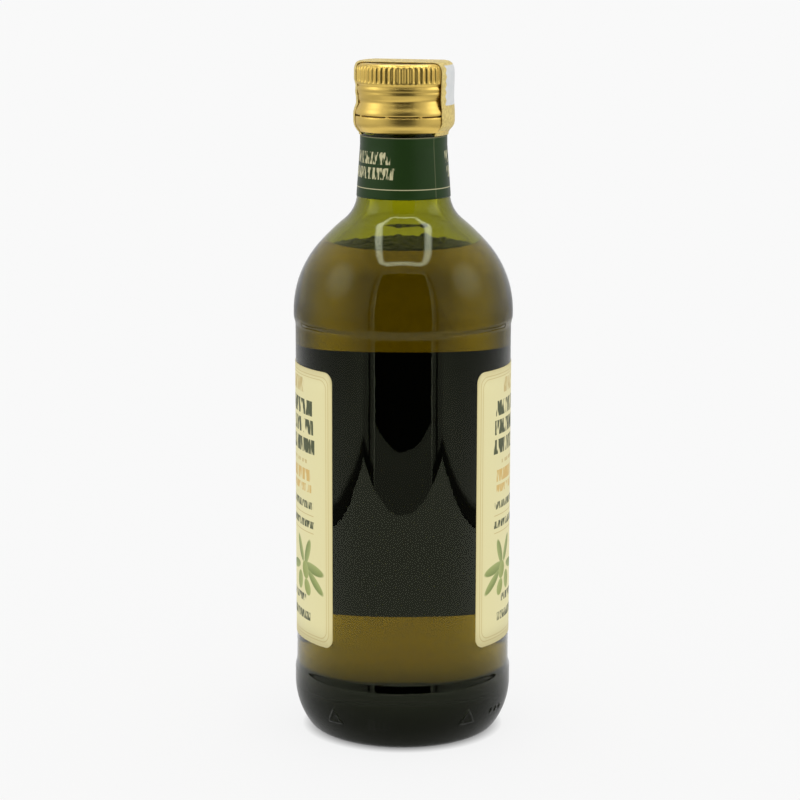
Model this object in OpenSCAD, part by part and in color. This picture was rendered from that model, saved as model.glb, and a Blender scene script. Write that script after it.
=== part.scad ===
// Bottle of oil: a round glass bottle with a recessed label panel and a domed shoulder, filled
// with oil, shut by a rolled metal cap and dressed with two labels and a seal strip.
// Millimetres, +Z up, origin at the middle of the base; the front faces -Y.

/* [Bottle] */
// Diameter of the heel and the shoulder
body_d = 72.4; // [62:0.2:90]
// Height at which the straight wall ends and the shoulder begins
shoulder_h = 141.8; // [115:0.2:180]
// Depth of the recessed label panel
panel_depth = 0.6; // [0.3:0.1:1.2]
// Height of the step at the foot of the panel
panel_low = 22; // [20:0.5:30]
// Distance from the panel's upper step down from the shoulder
panel_drop = 3; // [2.5:0.5:12]
// Length of the soft step between panel and band
step_h = 3.6; // [1.6:0.1:5]
// Thickness of the glass at the panel
wall = 2.6; // [2:0.1:5]

/* [Heel and base] */
// Radius of the tight curve next to the base
heel_tight_r = 5; // [3:0.1:8]
// Radius of the slow curve that runs into the wall
heel_slow_r = 24.7; // [18:0.1:30]
// Angle that the slow curve turns through
heel_turn = 35; // [25:1:45]
// Height of the hollow under the base
punt_h = 4; // [1:0.1:8]
// Width of the flat ring that the bottle stands on
stand_w = 4; // [2:0.5:8]
// Thickness of the glass over the base
base_t = 12; // [4:0.1:16]
// Radius of the corner inside, between floor and wall
floor_corner_r = 9; // [4:0.5:14]

/* [Shoulder and neck] */
// Radius of the first shoulder curve
shoulder_r = 33.2; // [25:0.2:34]
// Angle that the first shoulder curve turns through
shoulder_turn = 41; // [30:1:45]
// Radius of the flatter curve that climbs to the neck
slope_r = 72; // [50:1:90]
// Radius of the hollow curve at the foot of the neck
neck_fillet_r = 11.3; // [6:0.1:16]
// Diameter of the neck where that curve ends
neck_low_d = 30.5; // [28:0.1:37]
// Diameter of the neck under the cap
neck_high_d = 28.2; // [23:0.1:34]
// Height over which the neck narrows
neck_taper_h = 15.6; // [8:0.1:24]
// Straight neck between the taper and the cap
neck_clear_h = 4.4; // [2:0.1:10]

/* [Contents] */
// Level of the oil below the foot of the neck
fill_drop = 16.3; // [4:0.1:60]

/* [Cap] */
// Height of the cap
cap_h = 22.3; // [20:0.1:27]
// Thickness of the cap's skirt with its lining
cap_wall = 0.9; // [0.7:0.05:1.4]
// Gap between the neck and the cap's skirt
cap_clearance = 0.25; // [0.05:0.05:0.5]
// Thickness of the cap's top with its seal
cap_top_t = 1.6; // [1:0.1:3]
// How far the knurled rim stands proud of the waist
rim_proud = 0.7; // [0.4:0.05:1.2]
// How far the ring under the rim stands proud of the waist
ring_proud = 0.4; // [0.2:0.05:0.7]
// How far the tear-off band stands proud of the waist
band_proud = 0.95; // [0.5:0.05:1.3]
// Number of grooves round the rim
knurl_count = 56; // [24:1:72]
// Radius of a rim groove
knurl_r = 0.45; // [0.2:0.05:0.6]
// Height of the rim grooves
knurl_h = 4.8; // [3:0.1:5]
// Number of bridges that hold the tear-off band
bridge_count = 9; // [4:1:12]
// Width of a bridge
bridge_w = 0.9; // [0.5:0.1:2]
// Height of the slit above the tear-off band
slit_h = 0.35; // [0.2:0.05:0.6]
// Turns of the rolled thread
thread_turns = 1.6; // [1:0.1:2]
// Rise of the thread in one turn
thread_pitch = 2.6; // [2:0.1:3]
// Depth of the rolled thread
thread_depth = 0.35; // [0.1:0.05:0.5]
// Width of the rolled thread
thread_w = 1.5; // [1:0.1:2]

/* [Labels] */
// Thickness of the label paper
label_t = 0.15; // [0.08:0.01:0.4]
// Bare panel under the body label
label_low_margin = 9.4; // [2:0.2:30]
// Bare panel over the body label
label_high_margin = 11.8; // [2:0.2:30]
// Angle of bare glass between the ends of the body label
label_gap = 82; // [10:1:180]
// Direction that the middle of the bare glass faces, to the right of the front
label_turn = 1; // [-180:1:180]
// Radius of the body label's corners
label_corner_r = 3.5; // [1:0.5:8]
// Height of the neck label
neck_label_h = 19.9; // [8:0.1:24]
// Bare glass between the neck label and the cap
neck_label_gap = 1.2; // [0.5:0.1:5]

/* [Seal strip] */
// Width of the strip
strip_w = 15.7; // [8:0.1:22]
// Thickness of the strip
strip_t = 0.2; // [0.1:0.05:0.4]
// Glue and air between the cap and the strip
strip_gap = 0.2; // [0.05:0.05:0.5]
// Direction of the strip's right leg, to the right of the front
strip_turn = 76; // [0:1:180]

/* [Relief on the heel] */
// Height of the moulded marks
mark_h = 0.3; // [0.1:0.05:0.6]
// Height of the marks' middle above the base
mark_z = 10; // [8:0.5:13]
// Size of the larger marks
mark_size = 6; // [3:0.5:8]

/* [Hidden] */
$fn = 96;
eps = 0.01;

body_r = body_d / 2;
panel_r = body_r - panel_depth;
panel_high = shoulder_h - panel_drop;
cavity_r = panel_r - wall;
// the inside of the shoulder runs on from the straight inside wall
shoulder_inset = body_r - cavity_r;

// heel: the tight curve touches the base and the slow curve, which ends in the upright wall
heel_slow_x = body_r - heel_slow_r;
heel_tight_x = heel_slow_x + (heel_slow_r - heel_tight_r) * cos(heel_turn);
heel_slow_z = heel_tight_r + (heel_slow_r - heel_tight_r) * sin(heel_turn);
heel_join = [heel_slow_x, heel_slow_z] + heel_slow_r * [cos(heel_turn), -sin(heel_turn)];
punt_a = heel_tight_x - stand_w;
punt_r = (punt_a * punt_a + punt_h * punt_h) / (2 * punt_h);

// shoulder: two curves that share a tangent, then the hollow curve that runs into the neck
shoulder_c = [body_r - shoulder_r, shoulder_h];
slope_c = shoulder_c - (slope_r - shoulder_r) * [cos(shoulder_turn), sin(shoulder_turn)];
fillet_x = neck_low_d / 2 + neck_fillet_r;
fillet_reach = slope_r + neck_fillet_r;
slope_turn = acos((fillet_x - slope_c.x) / fillet_reach);
neck_z = slope_c.y + fillet_reach * sin(slope_turn);
fillet_c = [fillet_x, neck_z];
taper_top_z = neck_z + neck_taper_h;
cap_z = taper_top_z + neck_clear_h;
rim_z = cap_z + cap_h - cap_top_t;
fill_z = neck_z - fill_drop;

// cap: radii of the waist, the knurled rim, the ring under it and the tear-off band
bore_r = neck_high_d / 2 + cap_clearance;
waist_r = bore_r + cap_wall;
rim_r = waist_r + rim_proud;
ring_r = waist_r + ring_proud;
band_r = waist_r + band_proud;
cap_top_z = cap_z + cap_h;
band_top_z = cap_z + 7.6;
slit_z = cap_z + 5.2;
ring_low_z = cap_z + 11.7;
ring_high_z = cap_z + 14.8;
skirt_z = cap_z + 15.7;
rim_round = 1.7;
band_round = 1.6;
ring_round = 1.2;
thread_z = cap_z + 9;
thread_start = 150;

label_low_z = panel_low + step_h / 2 + label_low_margin;
label_high_z = panel_high - step_h / 2 - label_high_margin;
neck_label_top_z = cap_z - neck_label_gap;

function turn(r, a) = r * [cos(a), sin(a)];

// A slice of a disc about centre c, from angle a to angle b
module pie(c, r, a, b) {
    far = 1.5 * r;
    intersection() {
        translate(c) circle(r);
        polygon([c, c + turn(far, a), c + turn(far, (a + b) / 2), c + turn(far, b)]);
    }
}

// Half of a disc's section with rounded edges
module rounded_disc(r, low, high, round_low, round_high) {
    translate([0, low + round_low]) square([r, high - low - round_low - round_high]);
    translate([0, low]) square([r - round_low, round_low + eps]);
    translate([0, high - round_high - eps]) square([r - round_high, round_high + eps]);
    translate([r - round_low, low + round_low]) circle(round_low);
    translate([r - round_high, high - round_high]) circle(round_high);
}

// Section of the heel and the straight body, grown outwards by grow
module lower_section(grow = 0) {
    polygon([[0, -grow], [heel_tight_x, -grow], heel_join,
             [body_r + grow, heel_slow_z], [body_r + grow, shoulder_h], [0, shoulder_h]]);
    translate([heel_tight_x, heel_tight_r]) circle(heel_tight_r + grow);
    pie([heel_slow_x, heel_slow_z], heel_slow_r + grow, -heel_turn, 0);
}

// Section of the shoulder and the neck up to height top, moved inwards by inset
module upper_section(inset, top) {
    slope_end = slope_c + turn(slope_r - inset, slope_turn);
    neck_low = neck_low_d / 2 - inset;
    neck_high = neck_high_d / 2 - inset;
    arc_end = shoulder_c + turn(shoulder_r - inset, shoulder_turn);
    intersection() {
        translate([0, shoulder_h]) square([body_r, top - shoulder_h]);
        union() {
            difference() {
                polygon([[0, shoulder_h], [body_r - inset, shoulder_h], arc_end, slope_end, fillet_c,
                         [neck_low, neck_z], [0, neck_z]]);
                translate(fillet_c) circle(neck_fillet_r + inset);
            }
            pie(shoulder_c, shoulder_r - inset, 0, shoulder_turn);
            pie(slope_c, slope_r - inset, shoulder_turn, slope_turn);
            polygon([[0, neck_z - eps], [neck_low, neck_z - eps], [neck_low, neck_z],
                     [neck_high, taper_top_z], [neck_high, top], [0, top]]);
        }
    }
}

// The recess of the label panel, with a soft step at each end
module panel_cut() {
    step_r = (step_h * step_h + panel_depth * panel_depth) / (4 * panel_depth);
    difference() {
        translate([panel_r, panel_low - step_h / 2])
            square([2 * panel_depth, panel_high - panel_low + step_h]);
        translate([body_r - step_r, panel_low - step_h / 2]) circle(step_r);
        translate([body_r - step_r, panel_high + step_h / 2]) circle(step_r);
    }
}

// Section of the space inside the glass up to height top
module cavity_section(top) {
    floor_z = punt_h + base_t - punt_r + sqrt(pow(punt_r, 2) - pow(cavity_r - floor_corner_r, 2));
    difference() {
        union() {
            rounded_disc(cavity_r, floor_z, shoulder_h, floor_corner_r, 0);
            upper_section(shoulder_inset, top);
        }
        translate([0, punt_h + base_t - punt_r]) circle(punt_r);
    }
}

module half_plane() {
    translate([0, -body_d]) square([2 * body_d, 6 * shoulder_h]);
}

module mark_triangle(size) {
    difference() {
        circle(size / sqrt(3) + mark_h, $fn = 3);
        circle(size / sqrt(3) - 1.6, $fn = 3);
    }
}

module mark_bars(size, count) {
    pitch = size / 2.5;
    for (i = [0:count - 1])
        translate([(i - (count - 1) / 2) * pitch - pitch / 5, -size / 2]) square([pitch / 2.5, size]);
}

module mark_dots(size, count) {
    pitch = size / 2;
    for (i = [0:count - 1])
        translate([(i - (count - 1) / 2) * pitch, 0]) circle(size / 6);
}

// Puts a flat mark on the heel, at an angle to the right of the front
module on_heel(angle) {
    rotate([0, 0, angle]) translate([0, 0, mark_z]) rotate([90, 0, 0])
        linear_extrude(body_d) children();
}

module heel_marks() {
    intersection() {
        rotate_extrude() intersection() {
            lower_section(mark_h);
            translate([heel_slow_x, 0]) square([heel_slow_r, heel_slow_z]);
        }
        union() {
            on_heel(-39) rotate(90) mark_triangle(mark_size);
            on_heel(-12) mark_bars(mark_size * 0.7, 5);
            on_heel(37) rotate(90) mark_triangle(mark_size);
            on_heel(61) mark_dots(mark_size, 3);
            on_heel(150) mark_bars(mark_size * 0.7, 4);
            on_heel(180) rotate(90) mark_triangle(mark_size);
            on_heel(212) mark_dots(mark_size, 4);
        }
    }
}

module bottle() {
    bead_r = bore_r + 0.7;
    color([0.36, 0.38, 0.05, 0.7]) {
        rotate_extrude() difference() {
            intersection() {
                half_plane();
                union() {
                    lower_section();
                    upper_section(0, rim_z);
                    rounded_disc(bead_r, cap_z + 2, cap_z + 5, 0.8, 0.8);
                }
            }
            panel_cut();
            translate([0, punt_h - punt_r]) circle(punt_r);
            intersection() {
                half_plane();
                cavity_section(rim_z + eps);
            }
        }
        heel_marks();
    }
}

module oil() {
    color([0.62, 0.55, 0.05])
        rotate_extrude() intersection() {
            half_plane();
            cavity_section(fill_z);
        }
}

// Section of the cap's outside
module cap_section() {
    rounded_disc(band_r, cap_z, band_top_z, band_round, band_round);
    translate([0, cap_z + 3]) square([waist_r, skirt_z + 1 - cap_z - 3]);
    rounded_disc(ring_r, ring_low_z, ring_high_z, ring_round, ring_round);
    rounded_disc(rim_r, skirt_z, cap_top_z, 0.5, rim_round);
}

module knurl() {
    for (i = [0:knurl_count - 1])
        rotate([0, 0, i * 360 / knurl_count])
            translate([0, -rim_r - knurl_r * 0.3, cap_top_z - 1 - knurl_h]) cylinder(knurl_h, r = knurl_r);
}

// The slit above the tear-off band, open between the bridges
module slit() {
    bridge_a = bridge_w / band_r * 180 / PI;
    for (i = [0:bridge_count - 1])
        rotate([0, 0, i * 360 / bridge_count + bridge_a / 2 - 110])
            rotate_extrude(angle = 360 / bridge_count - bridge_a)
                translate([bore_r - eps, slit_z]) square([band_r, slit_h]);
}

// The rolled thread: a groove swept along a helix, which runs out at both ends
module thread() {
    steps = 64;
    sides = 4;
    rings = [for (i = [0:steps])
        let (t = i / steps,
             a = thread_start + t * thread_turns * 360,
             depth = thread_depth * min(1, 6 * min(t, 1 - t)),
             z = thread_z + t * thread_turns * thread_pitch,
             out = ring_r + 1)
        each [for (p = [[out, -thread_w], [out, thread_w], [waist_r - depth, 0.25], [waist_r - depth, -0.25]])
            [p.x * cos(a), p.x * sin(a), z + p.y]]];
    skin = [for (i = [0:steps - 1], j = [0:sides - 1])
        let (p = i * sides + j, q = i * sides + (j + 1) % sides)
        each [[p, q, q + sides], [p, q + sides, p + sides]]];
    start_cap = [[0, 2, 1], [0, 3, 2]];
    end_cap = [[for (k = [0, 1, 2]) steps * sides + k], [for (k = [0, 2, 3]) steps * sides + k]];
    polyhedron([for (p = rings) p], concat(skin, start_cap, end_cap));
}

module cap() {
    chamber_r = band_r - cap_wall;
    color([0.85, 0.68, 0.32]) difference() {
        rotate_extrude() intersection() {
            half_plane();
            difference() {
                cap_section();
                translate([0, cap_z - eps]) square([bore_r, rim_z - cap_z + eps]);
                rounded_disc(chamber_r, cap_z + 1.4, cap_z + 6.4, 0.8, 0.8);
            }
        }
        knurl();
        slit();
        thread();
    }
}

module neck_label() {
    low = neck_label_top_z - neck_label_h;
    color([0.11, 0.2, 0.06]) rotate_extrude() intersection() {
        translate([0, low]) square([body_r, neck_label_h]);
        difference() {
            upper_section(-label_t, rim_z);
            upper_section(0, rim_z);
        }
    }
}

// What is trimmed off a corner of the label: the corner is at the origin, and the label runs
// from it to the side and up that are given by 1 or -1
module corner_trim(side, up) {
    r = label_corner_r;
    steps = 8;
    arc = [for (i = [0:steps]) [r, r] - turn(r, 90 - i * 90 / steps)];
    // the first and last chords run on past the label's edges
    first = arc[0] + (arc[0] - arc[1]) / 4;
    last = arc[steps] + (arc[steps] - arc[steps - 1]) / 4;
    chords = [first, for (i = [1:steps - 1]) arc[i], last];
    polygon([for (p = concat(chords, [[-1, last.y], [-1, -1], [first.x, -1]])) [side * p.x, up * p.y]]);
}

module body_label() {
    start = label_turn + label_gap / 2;
    color([0.88, 0.85, 0.66]) difference() {
        rotate([0, 0, start - 90]) rotate_extrude(angle = 360 - label_gap)
            translate([panel_r, label_low_z]) square([label_t, label_high_z - label_low_z]);
        for (side = [-1, 1], up = [-1, 1])
            rotate([0, 0, side > 0 ? start : start - label_gap])
                translate([0, 0, up > 0 ? label_low_z : label_high_z]) rotate([90, 0, 0])
                    linear_extrude(body_d) corner_trim(side, up);
    }
}

// Section of the smooth shape that the strip is folded over, grown outwards
module strip_form(grow) {
    rounded_disc(band_r + grow, cap_z - grow, cap_top_z + grow, band_round + grow, rim_round + grow);
    translate([0, neck_label_top_z]) square([neck_high_d / 2 + grow, 3]);
}

module seal_strip() {
    color([0.9, 0.84, 0.6]) intersection() {
        rotate_extrude() intersection() {
            half_plane();
            translate([0, neck_label_top_z + strip_gap]) square([body_r, cap_h * 2]);
            difference() {
                strip_form(strip_gap + strip_t);
                strip_form(strip_gap);
            }
        }
        rotate([0, 0, strip_turn - 90]) translate([-body_r, -strip_w / 2, cap_z - cap_h])
            cube([body_d, strip_w, 3 * cap_h]);
    }
}

bottle();
oil();
cap();
neck_label();
body_label();
seal_strip();
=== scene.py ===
"""Looks of a sealed glass bottle of oil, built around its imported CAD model.

The bottle's glass is one turned, closed mesh with real wall thickness, and the oil is a closed mesh that
reaches just into the wall. The cap, the labels and the seal strip are built to the same sizes as the CAD.
Sizes are in millimetres and are turned into metres when a mesh is made.
"""

import logging
import math
import random
from dataclasses import dataclass, field
from enum import Enum
from typing import Callable, Sequence

import bpy
from mathutils import Matrix, Vector


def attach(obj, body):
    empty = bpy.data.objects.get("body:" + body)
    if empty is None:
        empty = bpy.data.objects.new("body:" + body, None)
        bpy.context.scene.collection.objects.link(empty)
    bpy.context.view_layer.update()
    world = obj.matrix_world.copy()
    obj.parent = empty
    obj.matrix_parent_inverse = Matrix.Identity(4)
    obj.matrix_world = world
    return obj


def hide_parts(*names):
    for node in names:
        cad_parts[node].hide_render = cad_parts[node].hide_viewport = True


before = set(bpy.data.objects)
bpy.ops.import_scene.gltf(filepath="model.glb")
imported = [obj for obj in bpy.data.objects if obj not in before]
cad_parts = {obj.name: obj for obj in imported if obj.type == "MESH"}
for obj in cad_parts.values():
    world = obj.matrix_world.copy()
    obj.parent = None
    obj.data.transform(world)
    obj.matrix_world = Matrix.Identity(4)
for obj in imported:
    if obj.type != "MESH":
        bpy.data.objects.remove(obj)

LOG = logging.getLogger("oil_bottle")
MM = 0.001
PAPER_T = 0.15
Colour = tuple[float, float, float]
Point = tuple[float, float]
Shape = Callable[[float, float, float], float]


# ---------------------------------------------------------------------------------------------
# Shader graphs
# ---------------------------------------------------------------------------------------------


class Value:
    """A number socket that Python arithmetic can be written on; each operation adds a Math node."""

    def __init__(self, graph: "Graph", socket: bpy.types.NodeSocket) -> None:
        """Wraps a socket of a graph."""
        self.graph = graph
        self.socket = socket

    def __add__(self, other: "Value | float") -> "Value":
        """Self plus other."""
        return self.graph.math("ADD", self, other)

    def __sub__(self, other: "Value | float") -> "Value":
        """Self minus other."""
        return self.graph.math("SUBTRACT", self, other)

    def __rsub__(self, other: float) -> "Value":
        """Other minus self."""
        return self.graph.math("SUBTRACT", other, self)

    def __mul__(self, other: "Value | float") -> "Value":
        """Self times other."""
        return self.graph.math("MULTIPLY", self, other)

    def __truediv__(self, other: "Value | float") -> "Value":
        """Self divided by other."""
        return self.graph.math("DIVIDE", self, other)

    def __pow__(self, other: "Value | float") -> "Value":
        """Self to the power of other."""
        return self.graph.math("POWER", self, other)

    def __abs__(self) -> "Value":
        """The size of self without its sign."""
        return self.graph.math("ABSOLUTE", self)

    __radd__ = __add__
    __rmul__ = __mul__

    def clamp(self) -> "Value":
        """Self held between 0 and 1."""
        return Value(self.graph, self.graph.node("ShaderNodeClamp", values={"Value": self}).outputs[0])

    def above(self, edge: float, soft: float) -> "Value":
        """1 where self is above edge and 0 below, turning over a width of soft."""
        return ((self - edge) * (1 / soft) + 0.5).clamp()

    def near(self, centre: float, half: float, soft: float) -> "Value":
        """1 where self is within half of centre, with soft sides."""
        return ((half - abs(self - centre)) * (1 / soft) + 0.5).clamp()


Source = Value | bpy.types.NodeSocket | float | Sequence[float]


class Graph:
    """A node tree under construction."""

    def __init__(self, tree: bpy.types.NodeTree) -> None:
        """Takes over a tree and empties it."""
        self.tree = tree
        tree.nodes.clear()

    def node(
        self, kind: str, settings: dict | None = None, values: dict[str | int, Source] | None = None
    ) -> bpy.types.Node:
        """Adds a node.

        Args:
            kind: Blender's name for the node's type.
            settings: properties of the node, set before its sockets.
            values: what each input socket holds or is linked to, by name or index.

        Returns:
            The new node.
        """
        made = self.tree.nodes.new(kind)
        for name, setting in (settings or {}).items():
            setattr(made, name, setting)
        for key, value in (values or {}).items():
            if isinstance(value, (Value, bpy.types.NodeSocket)):
                source = value.socket if isinstance(value, Value) else value
                self.tree.links.new(source, made.inputs[key])
            else:
                made.inputs[key].default_value = value
        return made

    def math(self, operation: str, *terms: Value | float) -> Value:
        """A Math node on one, two or three terms."""
        made = self.node("ShaderNodeMath", {"operation": operation}, dict(enumerate(terms)))
        return Value(self, made.outputs[0])

    def mix(self, under: Source, over: Source, mask: Value | float) -> bpy.types.NodeSocket:
        """Colour under with colour over it where mask is 1."""
        under, over = (self.colour(c) if isinstance(c, tuple) else c for c in (under, over))
        made = self.node("ShaderNodeMix", {"data_type": "RGBA"}, {0: mask, 6: under, 7: over})
        return made.outputs[2]

    def grey(self, value: Value, most: float) -> bpy.types.NodeSocket:
        """A grey colour that is white where a value reaches most."""
        return self.mix((0.0, 0.0, 0.0), (1.0, 1.0, 1.0), value / most)

    def colour(self, value: Colour) -> tuple[float, float, float, float]:
        """A colour with its alpha."""
        return (*value[:3], 1.0)

    def place(self) -> tuple[Value, Value, Value]:
        """X, Y and Z on the object, in millimetres."""
        spot = self.node("ShaderNodeTexCoord").outputs["Object"]
        parts = self.node("ShaderNodeSeparateXYZ", values={0: spot}).outputs
        return tuple(Value(self, part) * (1 / MM) for part in parts)

    def noise(self, scale: float, detail: float = 2.0, stretch: Sequence[float] = (1, 1, 1)) -> Value:
        """A noise field from 0 to 1.

        Args:
            scale: cells in a metre.
            detail: how many finer layers are added.
            stretch: how much finer the cells are along each axis.

        Returns:
            The field.
        """
        spot = self.node("ShaderNodeTexCoord").outputs["Object"]
        scaled = self.node("ShaderNodeMapping", values={"Vector": spot, "Scale": stretch}).outputs[0]
        values = {"Vector": scaled, "Scale": scale, "Detail": detail}
        return Value(self, self.node("ShaderNodeTexNoise", values=values).outputs[0])

    def attribute(self, name: str) -> Value:
        """The number that each vertex carries under a name."""
        return Value(self, self.node("ShaderNodeAttribute", {"attribute_name": name}).outputs["Fac"])

    def principled(self, **values: Source) -> bpy.types.NodeSocket:
        """A Principled shader; words in a socket's name are joined by an underscore."""
        named = {key.replace("_", " "): value for key, value in values.items()}
        named = {key: self.colour(v) if isinstance(v, tuple) else v for key, v in named.items()}
        return self.node("ShaderNodeBsdfPrincipled", values=named).outputs[0]

    def bump(self, height: Value, distance: float, strength: float = 1.0) -> bpy.types.NodeSocket:
        """A bumped normal.

        Args:
            height: field from 0 to 1.
            distance: how many millimetres a height of 1 stands for.
            strength: share of the bump that is kept.

        Returns:
            The normal socket.
        """
        values = {"Height": height, "Distance": distance * MM, "Strength": strength}
        return self.node("ShaderNodeBump", values=values).outputs[0]

    def output(self, surface: bpy.types.NodeSocket, volume: bpy.types.NodeSocket | None = None) -> None:
        """Links the surface shader, and the volume shader if there is one, to the output."""
        links = {"Surface": surface} if volume is None else {"Surface": surface, "Volume": volume}
        self.node("ShaderNodeOutputMaterial", values=links)


Paint = Callable[[Graph, Value, Value, Value], Value]


def new_material(name: str) -> tuple[bpy.types.Material, Graph]:
    """Makes an empty material.

    Args:
        name: the material's name.

    Returns:
        The material and its graph.
    """
    material = bpy.data.materials.new(name)
    material.use_nodes = True
    return material, Graph(material.node_tree)


# ---------------------------------------------------------------------------------------------
# Finishes
# ---------------------------------------------------------------------------------------------


class Tint(Enum):
    """Colours of the prints, as linear light."""

    CREAM = (0.755, 0.695, 0.365)
    CREAM_EDGE = (0.690, 0.600, 0.280)
    GOLD_LINE = (0.560, 0.430, 0.160)
    GOLD_PRINT = (0.640, 0.420, 0.110)
    DARK_PRINT = (0.035, 0.055, 0.012)
    LEAF = (0.170, 0.235, 0.045)
    LEAF_LIGHT = (0.360, 0.420, 0.130)
    OLIVE = (0.240, 0.300, 0.050)
    # painted shade: the body label's back, seen through the oil, is near black for the shade behind it
    LABEL_BACK_SHADE = (0.004, 0.005, 0.003)
    NECK_BACK = (0.700, 0.680, 0.560)
    GREEN = (0.0085, 0.0290, 0.0020)
    NECK_PRINT = (0.560, 0.520, 0.300)
    STRIP = (0.720, 0.560, 0.165)
    STRIP_DARK = (0.520, 0.385, 0.100)
    FOIL = (0.780, 0.780, 0.760)


@dataclass(frozen=True)
class Absorption:
    """How strongly a clear body takes up light, for each millimetre, in red, green and blue."""

    red: float
    green: float
    blue: float

    def shader(self, graph: Graph) -> bpy.types.NodeSocket:
        """The volume shader, whose density is that of the colour taken up most."""
        most = max(self.red, self.green, self.blue)
        left = tuple(1 - share / most for share in (self.red, self.green, self.blue))
        values = {"Color": graph.colour(left), "Density": most / MM}
        return graph.node("ShaderNodeVolumeAbsorption", values=values).outputs[0]


@dataclass(frozen=True)
class ClearBody:
    """Clear glass or oil: one smooth surface where it meets air, another where it meets a liquid.

    Attributes:
        name: the material's name.
        ior: refractive index against air.
        wet_ior: refractive index against what touches the part that the attribute "wet" marks.
        sheen: share of the plain reflection that is kept where light falls straight on, by colour.
        absorption: how the body colours the light that passes through.
        ripple: depth in millimetres of the surface's slow waves.
    """

    name: str
    ior: float
    wet_ior: float
    sheen: Colour
    absorption: Absorption
    ripple: float = 0.0

    def build(self) -> bpy.types.Material:
        """Makes the material."""
        material, graph = new_material(self.name)
        common = {"Base_Color": (1.0, 1.0, 1.0), "Transmission_Weight": 1.0, "Roughness": 0.0}
        if self.ripple:
            common["Normal"] = graph.bump(graph.noise(160, 1.0, (1, 1, 0.35)), self.ripple)
        dry = graph.principled(IOR=self.ior, Specular_Tint=self.sheen, **common)
        wet = graph.principled(IOR=self.wet_ior, Specular_Tint=self.sheen, **common)
        mixed = graph.node("ShaderNodeMixShader", values={0: graph.attribute("wet"), 1: dry, 2: wet})
        graph.output(mixed.outputs[0], self.absorption.shader(graph))
        return material


@dataclass(frozen=True)
class FrothSkin:
    """The bubbles' skins: painted shade, near black, where they meet and off them; partly clear on top."""

    name: str = "froth_skin"
    clear: float = 0.72

    def build(self) -> bpy.types.Material:
        """Makes the material."""
        material, graph = new_material(self.name)
        rim = graph.attribute("rim")
        alpha = rim * self.clear + (1 - self.clear)
        # painted shade: near black where the rim attribute is 1, olive on the domes' tops
        tone = graph.mix((0.16, 0.17, 0.025), (0.004, 0.005, 0.002), rim)
        graph.output(graph.principled(Base_Color=tone, Roughness=0.25, Alpha=alpha))
        return material


@dataclass(frozen=True)
class GoldLacquer:
    """Satin gold lacquer on thin rolled sheet."""

    name: str = "gold_lacquer"
    tone: Colour = (0.800, 0.565, 0.140)
    roughness: float = 0.34

    def build(self) -> bpy.types.Material:
        """Makes the material: fine lines run round the cap, and the tone wanders a little."""
        material, graph = new_material(self.name)
        lines = graph.noise(900, 2.0, (0.15, 0.15, 2.5))
        cloud = graph.noise(90, 2.0)
        tone = graph.mix(self.tone, tuple(part * 0.88 for part in self.tone), cloud)
        rough = self.roughness - 0.05 + lines * 0.10
        normal = graph.bump(lines, 0.004)
        graph.output(graph.principled(Base_Color=tone, Metallic=1.0, Roughness=rough, Normal=normal))
        return material


@dataclass(frozen=True)
class DarkLining:
    """The inside of the cap."""

    name: str = "cap_lining"

    def build(self) -> bpy.types.Material:
        """Makes the material."""
        material, graph = new_material(self.name)
        graph.output(graph.principled(Base_Color=(0.10, 0.08, 0.03), Metallic=0.6, Roughness=0.5))
        return material


@dataclass(frozen=True)
class PlainPaper:
    """Paper of one tone with a faint grain."""

    name: str
    tone: Colour
    roughness: float = 0.6

    def build(self) -> bpy.types.Material:
        """Makes the material."""
        material, graph = new_material(self.name)
        grain = graph.noise(2500, 2.0)
        tone = graph.mix(self.tone, tuple(part * 0.9 for part in self.tone), grain)
        normal = graph.bump(grain, 0.01)
        graph.output(graph.principled(Base_Color=tone, Roughness=self.roughness, Normal=normal))
        return material


@dataclass(frozen=True)
class Bar:
    """A field of print on the body label, measured from the end of the label.

    Attributes:
        low: lower edge, in millimetres above the base.
        high: upper edge.
        near: distance from the label's end to the near end of the field.
        far: distance from the label's end to the far end of the field.
        tint: colour of the field.
        block: width of the upright strokes that the field is broken into, or 0 for a plain field.
    """

    low: float
    high: float
    near: float
    far: float
    tint: Tint
    block: float = 0.0


@dataclass(frozen=True)
class Leaf:
    """An ellipse of print: a leaf or an olive of the sprig.

    Attributes:
        across: distance of its middle from the label's end.
        height: height of its middle.
        length: half its longer axis.
        width: half its shorter axis.
        turn: angle of the longer axis, in degrees, rising away from the label's end.
        tint: colour.
        light: colour of the lighter half.
    """

    across: float
    height: float
    length: float
    width: float
    turn: float
    tint: Tint
    light: Tint


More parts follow.
